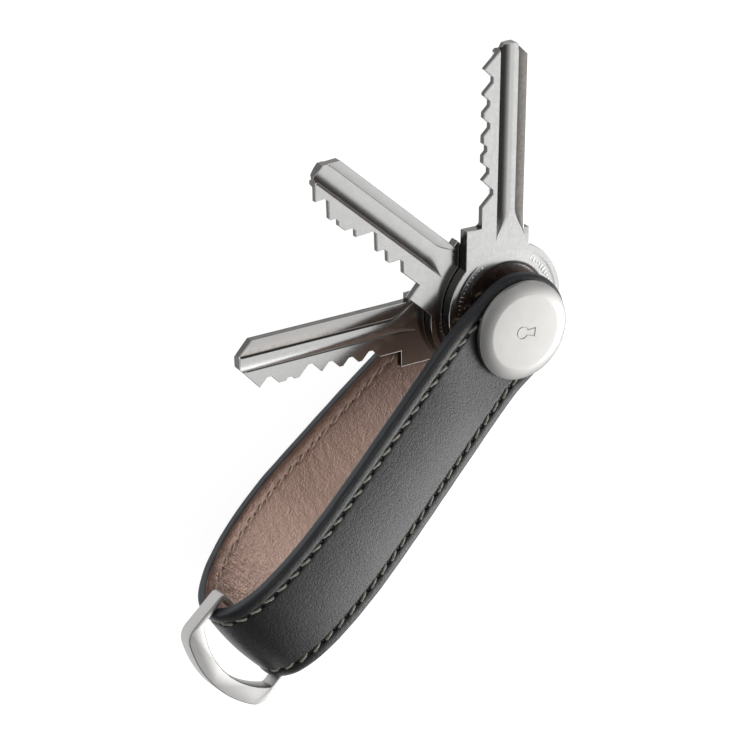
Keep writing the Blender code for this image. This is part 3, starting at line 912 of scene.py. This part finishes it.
class Shader(Nodes):
    """One material, built round its Principled BSDF."""

    def __init__(self, name):
        self.material = bpy.data.materials.new(name)
        self.material.use_nodes = True
        super().__init__(self.material.node_tree)
        self.main = self.tree.nodes["Principled BSDF"]

    def noise(self, place, scale, detail=3.0, roughness=0.55, distortion=0.0, output="Fac"):
        inputs = {"Vector": place, "Scale": scale, "Detail": detail}
        inputs |= {"Roughness": roughness, "Distortion": distortion}
        return self.add("TexNoise", inputs).outputs[output]

    def scaled(self, place, scale, rotation=(0, 0, 0)):
        inputs = {"Vector": place, "Scale": scale, "Rotation": rotation}
        return self.add("Mapping", inputs).outputs["Vector"]

    def ramp(self, factor, dark, pale, ends=NOISE_RANGE):
        node = self.add("ValToRGB", {"Fac": factor})
        for element, position, colour in zip(node.color_ramp.elements, ends, (dark, pale)):
            element.position = position
            element.color = (*colour, 1)
        return node.outputs["Color"]

    def vary(self, noise, low, high):
        return self.span(noise, low, high, *NOISE_RANGE)

    def bump(self, height, strength, distance, under=None):
        inputs = {"Height": height, "Strength": strength, "Distance": distance}
        if under is not None:
            inputs["Normal"] = under
        return self.add("Bump", inputs).outputs["Normal"]

    def mix(self, factor, first, second):
        """The first colour where the factor is 0, and the second where it is 1."""
        node = self.add("Mix", {"Factor": factor}, data_type="RGBA")
        for socket, value in zip([i for i in node.inputs if i.type == "RGBA"], (first, second)):
            if isinstance(value, tuple):
                socket.default_value = (*value, 1)
            else:
                self.tree.links.new(value, socket)
        return next(o for o in node.outputs if o.type == "RGBA")

    def pattern(self):
        """The flat pattern of the leather in mm, or the milled depth of a key."""
        return self.add("UVMap", uv_map="pattern").outputs["UV"]

    def object_mm(self):
        return self.scaled(self.add("TexCoord").outputs["Object"], (1 / MM, 1 / MM, 1 / MM))

    def parts(self, vector):
        return self.add("SeparateXYZ", {0: vector}).outputs

    def surface(self, colour, roughness, normal, constants=None):
        varying = {"Base Color": colour, "Roughness": roughness, "Normal": normal}
        self.feed(self.main, varying | (constants or {}))
        return self.material


def from_stitch_line(shader, uv):
    """Signed distance from the line of stitches, in mm."""
    row = (HALF_WIDTH - STITCH_INSET) / MM
    return shader.math("SUBTRACT", shader.math("ABSOLUTE", shader.parts(uv)["Y"]), row)


def needle_holes(shader, uv, size):
    """1 at each needle hole between two stitches, 0 elsewhere."""
    pitch = STITCH_PITCH / MM
    turns = shader.math("DIVIDE", shader.math("SUBTRACT", shader.parts(uv)["X"], FIRST_STITCH / MM), pitch)
    along = shader.math("MULTIPLY", shader.math("SUBTRACT", shader.math("FRACT", turns), 0.5), pitch)
    across = from_stitch_line(shader, uv)
    squares = [shader.math("MULTIPLY", part, part) for part in (along, across)]
    distance = shader.math("SQRT", shader.math("ADD", *squares))
    return shader.span(distance, 1.0, 0.0, size * 0.45, size, smooth=True)


def stitch_channel(shader, uv, inner, outer):
    """1 in the line where the stitches lie, 0 elsewhere."""
    return shader.span(shader.math("ABSOLUTE", from_stitch_line(shader, uv)), 1.0, 0.0, inner, outer)


def along_strap(shader, uv, start, finish, low, high):
    """Goes from low to high with the distance from the middle of the fold, in mm."""
    middle = STRAP.length / 2 / MM
    away = shader.math("ABSOLUTE", shader.math("SUBTRACT", shader.parts(uv)["X"], middle))
    return shader.span(away, low, high, start, finish)


def leather_grain(shader, uv, cell, depth):
    """Leather's normal, from small pebbles and a broader unevenness; also both of those heights."""
    shift = shader.noise(uv, 1.4, 2.0, 0.5, output="Color")
    warped = shader.add("VectorMath", {0: uv, 1: shift}, operation="ADD").outputs[0]
    cells = {"Vector": warped, "Scale": 1 / cell, "Smoothness": 0.6, "Randomness": 1.0}
    pebble = shader.add("TexVoronoi", cells, feature="SMOOTH_F1").outputs["Distance"]
    fine = shader.noise(uv, 5.5, 4.0, 0.6)
    height = shader.math("ADD", shader.math("MULTIPLY", pebble, -0.9), fine)
    return shader.bump(height, 0.5, depth), pebble, fine


def charcoal_leather():
    shader = Shader("charcoal_leather")
    uv = shader.pattern()
    normal, pebble, fine = leather_grain(shader, uv, 0.42, 0.085 * MM)
    holes = needle_holes(shader, uv, 0.5)
    normal = shader.bump(shader.math("MULTIPLY", holes, -1.0), 1.0, 0.25 * MM, normal)
    blotch = shader.noise(uv, 0.12)
    tone = shader.ramp(blotch, (0.011, 0.0113, 0.012), (0.017, 0.0173, 0.0185))
    pored = shader.mix(shader.span(pebble, 0.0, 0.6, 0.15, 0.6), tone, (0.034, 0.035, 0.037))
    # Painted shade: the line of the stitch groove is painted much darker.
    channel = shader.math("MULTIPLY", stitch_channel(shader, uv, 0.2, 0.55), 0.8)
    groove_shaded = shader.mix(channel, pored, (0.005, 0.005, 0.005))
    # Painted shade: the needle holes are painted almost black.
    colour = shader.mix(holes, groove_shaded, (0.002, 0.002, 0.002))
    return shader.surface(colour, shader.vary(fine, 0.3, 0.43), normal, {"Specular IOR Level": 0.55})


def rose_leather():
    shader = Shader("rose_leather")
    uv = shader.pattern()
    normal, pebble, fine = leather_grain(shader, uv, 0.48, 0.095 * MM)
    near_fold = along_strap(shader, uv, 5.0, 24.0, 1.0, 0.1)
    crease = shader.noise(shader.scaled(uv, (1.0, 0.13, 1.0), (0, 0, 0.12)), 0.95, 4.0, 0.6, 0.2)
    sharp = shader.math("ABSOLUTE", shader.math("SUBTRACT", crease, 0.5))
    normal = shader.bump(shader.math("MULTIPLY", sharp, near_fold), 0.8, 0.75 * MM, normal)
    holes = shader.math("MULTIPLY", needle_holes(shader, uv, 0.34), 0.7)
    normal = shader.bump(shader.math("MULTIPLY", holes, -1.0), 0.6, 0.15 * MM, normal)
    tone = shader.ramp(shader.noise(uv, 0.25, 4.0), (0.25, 0.155, 0.118), (0.29, 0.185, 0.143))
    pored = shader.mix(shader.span(pebble, 0.3, 0.0, 0.0, 0.5), tone, (0.42, 0.29, 0.235))
    # Painted shade: the lining is painted darker brown towards both clamped ends, where the keys and the
    # clamp keep light off it.
    shaded_near_ends = shader.mix(along_strap(shader, uv, 40.0, 80.0, 0.0, 0.5), pored, (0.035, 0.024, 0.018))
    # Painted shade: the crease lines near the fold are painted darker.
    lines = shader.math("MULTIPLY", shader.span(sharp, 0.55, 0.0, 0.0, 0.04), near_fold)
    crease_shaded = shader.mix(lines, shaded_near_ends, (0.1, 0.055, 0.042))
    # Painted shade: the needle holes are painted dark.
    colour = shader.mix(holes, crease_shaded, (0.06, 0.03, 0.024))
    constants = {"Metallic": 0.4, "Specular IOR Level": 0.5}
    return shader.surface(colour, shader.vary(fine, 0.32, 0.46), normal, constants)


def edge_paint():
    shader = Shader("edge_paint")
    place = shader.object_mm()
    fine = shader.noise(place, 4.0)
    tone = shader.ramp(shader.noise(place, 0.5), (0.02, 0.024, 0.03), (0.03, 0.036, 0.044))
    return shader.surface(tone, shader.vary(fine, 0.34, 0.5), shader.bump(fine, 0.25, 0.05 * MM))


def thread(name, colour):
    shader = Shader(name)
    fibre = shader.noise(shader.object_mm(), 9.0)
    tone = shader.ramp(fibre, tuple(0.6 * c for c in colour), colour)
    bump = shader.bump(fibre, 0.6, 0.06 * MM)
    return shader.surface(tone, shader.vary(fibre, 0.45, 0.65), bump, {"Sheen Weight": 0.2})


def blasted_steel(name="blasted_steel", colour=(0.49, 0.485, 0.472), base=0.42):
    shader = Shader(name)
    place = shader.object_mm()
    grit = shader.noise(place, 14.0, 4.0, 0.7)
    pale = tuple(min(1, 1.06 * c) for c in colour)
    tone = shader.ramp(shader.noise(place, 0.35, 2.0), colour, pale)
    bump = shader.bump(grit, 0.22, 0.015 * MM)
    return shader.surface(tone, shader.vary(grit, base, base + 0.12), bump, {"Metallic": 1.0})


def brushed_steel():
    shader = Shader("brushed_steel")
    lines = shader.noise(shader.scaled(shader.object_mm(), (3.0, 0.25, 9.0)), 3.0, 4.0, 0.7)
    tone = shader.ramp(lines, (0.46, 0.456, 0.445), (0.56, 0.555, 0.543))
    bump = shader.bump(lines, 0.2, 0.012 * MM)
    return shader.surface(tone, shader.vary(lines, 0.42, 0.54), bump, {"Metallic": 1.0})


def key_nickel(name, swing):
    """Nickel plate with milling lines along the key, whose direction is swing degrees from +X."""
    shader = Shader(name)
    place = shader.scaled(shader.object_mm(), (1, 1, 1), (0, 0, -math.radians(swing)))
    lines = shader.noise(shader.scaled(place, (0.22, 6.0, 6.0)), 2.2, 4.0, 0.65)
    scuff = shader.noise(place, 1.6, 5.0, 0.7)
    plain_nickel = shader.ramp(scuff, (0.64, 0.637, 0.63), (0.68, 0.678, 0.672))
    depth = shader.parts(shader.pattern())["X"]
    # Painted shade and a painted brown reflection: milled hollows deeper than about 0.12 mm are painted
    # darker brown, patchily.
    hollow_shade_and_reflection = shader.math(
        "MULTIPLY", shader.span(depth, 0.0, 0.75, 0.12, 0.4), shader.span(scuff, 0.75, 1.0, 0.3, 0.6)
    )
    milled = shader.mix(hollow_shade_and_reflection, plain_nickel, (0.16, 0.13, 0.108))
    # Painted shade: the deepest part of the milling is painted nearly black.
    deep_shaded = shader.mix(shader.span(depth, 0.0, 0.85, 0.57, 0.72), milled, (0.05, 0.046, 0.042))
    # Painted shade: the cut side walls, marked by CUT_WALL in the UVs, are painted dark grey.
    side = shader.ramp(lines, (0.045, 0.044, 0.042), (0.17, 0.165, 0.16), (0.35, 0.65))
    colour = shader.mix(shader.span(depth, 0.0, 1.0, 1.2, 1.8), deep_shaded, side)
    rough = shader.math("MULTIPLY", shader.vary(scuff, 0.85, 1.15), shader.vary(lines, 0.14, 0.2))
    return shader.surface(colour, rough, shader.bump(lines, 0.16, 0.02 * MM), {"Metallic": 1.0})


def moulded(name, colour, roughness):
    shader = Shader(name)
    fine = shader.noise(shader.object_mm(), 3.0, 4.0)
    tone = shader.ramp(fine, colour, tuple(min(1, 1.3 * c + 0.004) for c in colour))
    rough = shader.vary(fine, roughness - 0.06, roughness + 0.08)
    return shader.surface(tone, rough, shader.bump(fine, 0.2, 0.02 * MM))


def repaint(obj, material):
    obj.data.materials.clear()
    obj.data.materials.append(material)


def finish(obj, material, record_slot, body):
    repaint(obj, material)
    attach(obj, body)


# ---- The object


def split(along, across):
    """Where the two leathers meet."""
    return np.full(along.shape, SPLIT_DEPTH)


def below_split(along, across):
    """Just under the outer leather, so that the two faces don't coincide."""
    return split(along, across) + 0.02 * MM


def make_strap():
    outer = strap_slab("strap_outer", outer_depth, split)
    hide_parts("outer_leather")
    finish(outer, charcoal_leather(), "charcoal_leather", "strap")
    lining = strap_slab("strap_lining", lining_depth, below_split)
    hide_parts("lining_leather")
    finish(lining, rose_leather(), "rose_leather", "strap")
    bead = edge_bead("strap_edge")
    finish(bead, edge_paint(), "edge_paint", "strap")
    top = stitch_rows("outer_stitching", True, 0.26 * MM, STITCH_LENGTH, 0.38 * MM)
    finish(top, thread("grey_thread", (0.44, 0.43, 0.355)), "grey_thread", "strap")
    under = stitch_rows("lining_stitching", False, 0.16 * MM, STITCH_LENGTH * 0.72, 0.26 * MM)
    finish(under, thread("beige_thread", (0.9, 0.74, 0.54)), "beige_thread", "strap")


def make_metal():
    steel = blasted_steel()
    finish(make_front_button(), steel, "satin_steel", "strap")
    finish(make_back_screw(), steel, "satin_steel", "screw")
    ring = refined("ring_wire", "d_ring", 0.22 * MM)
    finish(ring, brushed_steel(), "brushed_steel", "ring")
    make_key("key_1", "front_key", -128.2, (2.95, 5.6, 0.8), (2.05, 0.66))
    make_key("key_2", "middle_key", -79.2, (2.6, 5.4, 0.62), (1.7, 0.22))
    make_key("key_3", "rear_key", -37.3, (3.5, 5.3, 0.2), (2.7, 0.42))


def finish_hidden_pieces():
    """Clamp parts between the leathers keep their CAD shapes and get their own materials."""
    finishes = {
        "satin_steel": blasted_steel("turned_steel", (0.6, 0.59, 0.57), 0.28),
        "black_rubber": moulded("black_rubber", (0.018, 0.018, 0.018), 0.6),
        "black_nylon": moulded("black_nylon", (0.03, 0.03, 0.033), 0.45),
        "white_nylon": moulded("white_nylon", (0.7, 0.69, 0.65), 0.45),
    }
    slots = {s["node"]: s["material_slot"] for s in frame["record"]["subparts"]}
    for node, obj in frame["nodes"].items():
        if slots[node] in finishes:
            repaint(obj, finishes[slots[node]])
            shade(obj, 30)


# ---- Studio


def make_camera():
    back = VIEW_FROM.normalized()
    right = VIEW_UP.cross(back).normalized()
    up = back.cross(right)
    turn = Matrix((right, up, back)).transposed().to_4x4()
    camera = new_object("camera", bpy.data.cameras.new("camera"))
    camera.data.lens = VIEW_LENS
    camera.data.clip_start = 0.01
    camera.matrix_world = Matrix.Translation(VIEW_TARGET + back * VIEW_DISTANCE) @ turn
    bpy.context.scene.camera = camera


def make_floor():
    """Pale paper that glows near the object, so that it stays as bright there as it is further off."""
    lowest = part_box("back_screw")[0].z
    bpy.ops.mesh.primitive_plane_add(size=6, location=(0.02, 0, lowest - 0.02 * MM))
    floor = bpy.context.active_object
    floor.name = "floor"
    shader = Shader("floor_paper")
    place = shader.object_mm()
    paper = shader.ramp(shader.noise(place, 0.4), (0.3, 0.3, 0.3), (0.31, 0.31, 0.31))
    away = shader.add("VectorMath", {0: place}, operation="LENGTH").outputs["Value"]
    far = shader.span(away, 0.0, 1.0, 140.0, 420.0)
    glow = {"Emission Color": (1, 1, 1, 1), "Emission Strength": shader.span(far, 0.93, 0.2)}
    matt = {"Roughness": 0.9, "Specular IOR Level": 0.1}
    shader.feed(shader.main, {"Base Color": shader.mix(far, paper, (0.3, 0.3, 0.3))} | glow | matt)
    floor.data.materials.append(shader.material)


# Soft boxes of the studio, as direction, inner and outer angle in degrees, and brightness.
SOFT_BOXES = [
    ((-0.42, 0.80, 0.42), 8, 25, 5.0),
    ((0.04, 0.90, 0.43), 8, 23, 1.5),
    ((-0.15, 0.62, 0.77), 10, 27, 0.7),
    ((0.12, 0.34, 0.93), 5, 16, 0.25),
    ((-0.50, 0.12, 0.86), 10, 26, 0.7),
    ((0.10, -0.75, 0.65), 10, 45, 0.4),
]
SKY_LEVEL = 0.1


def make_studio():
    """Light from broad soft boxes on a dim sky, so that metal has both bright and dark to reflect."""
    world = bpy.data.worlds.new("studio")
    world.use_nodes = True
    bpy.context.scene.world = world
    sky = Nodes(world.node_tree)
    outward = sky.add("TexCoord").outputs["Generated"]
    total = SKY_LEVEL
    for direction, inner, outer, level in SOFT_BOXES:
        lamp = {0: outward, 1: Vector(direction).normalized()}
        facing = sky.add("VectorMath", lamp, operation="DOT_PRODUCT").outputs["Value"]
        dark_from, bright_from = (math.cos(math.radians(angle)) for angle in (outer, inner))
        glow = sky.span(facing, 0.0, level, dark_from, bright_from, smooth=True)
        total = sky.math("ADD", glow, total)
    sky.feed(sky.tree.nodes["Background"], {"Strength": total, "Color": (1, 1, 1, 1)})
    bpy.context.scene.view_settings.view_transform = "Standard"
    bpy.context.scene.view_settings.look = "None"


make_camera()
make_strap()
make_metal()
finish_hidden_pieces()
make_floor()
make_studio()
